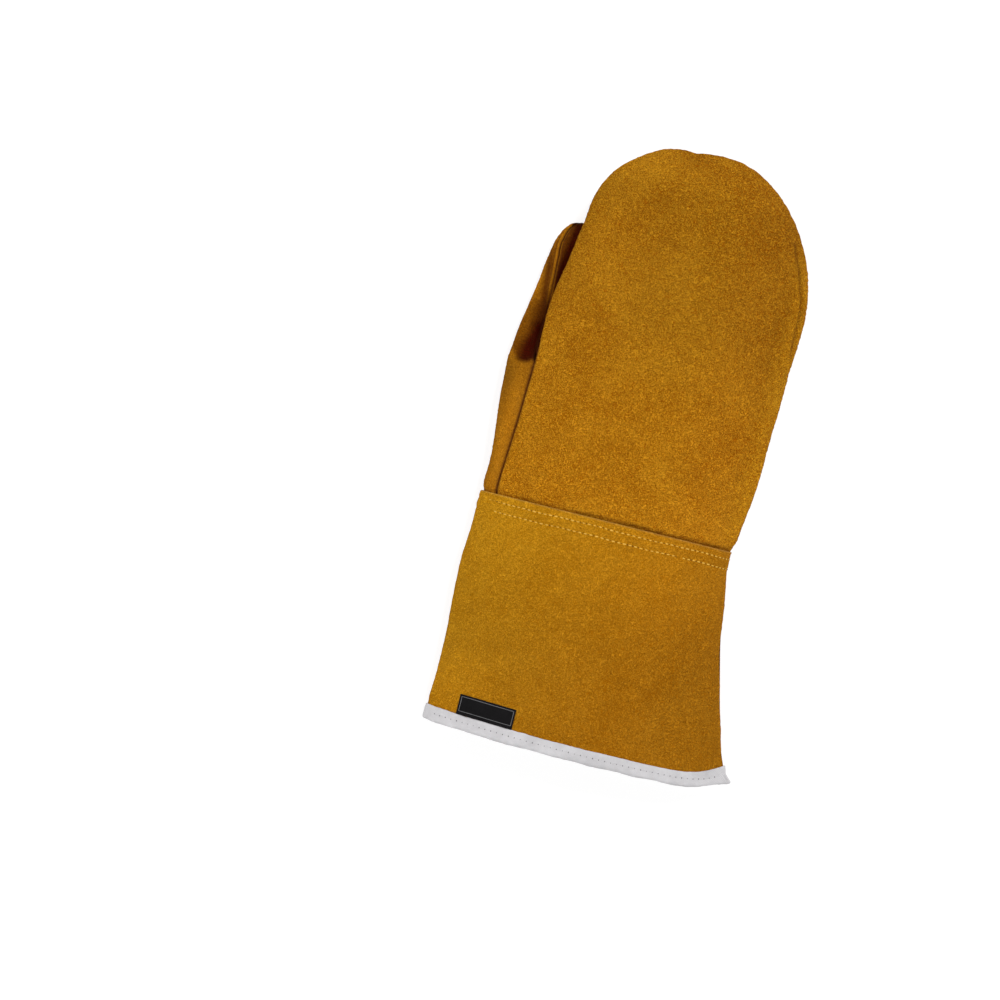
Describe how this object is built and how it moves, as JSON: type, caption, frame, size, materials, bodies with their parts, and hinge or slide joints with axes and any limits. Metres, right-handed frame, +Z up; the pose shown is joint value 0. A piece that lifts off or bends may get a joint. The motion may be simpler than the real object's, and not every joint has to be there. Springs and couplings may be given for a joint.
{
  "type": "oven glove",
  "caption": "Leather oven glove with a mitt for the fingers, a free thumb and a long flared gauntlet cuff with a bound hem, lying palm down.",
  "frame": {"origin": "middle of the glove's footprint, on the surface that it lies on", "axes": "+X from the thumb side to the little-finger side, +Y from the cuff to the fingertips, +Z up out of the back of the hand"},
  "size_m": [0.2008, 0.3926, 0.0482],
  "materials": {
    "leather_back": "coarse split suede, golden tan",
    "leather_palm": "split suede with a longer nap, golden tan",
    "leather_thumb": "fine split suede, golden tan",
    "leather_cuff": "split suede, golden tan",
    "cotton_tape": "white twill tape",
    "woven_label": "black woven tape"
  },
  "bodies": {
    "root": {"back_panel": "leather_back", "palm_panel": "leather_palm", "thumb_outer": "leather_thumb", "thumb_inner": "leather_thumb", "cuff": "leather_cuff", "hem_binding": "cotton_tape", "label": "woven_label"}
  },
  "joints": []
}
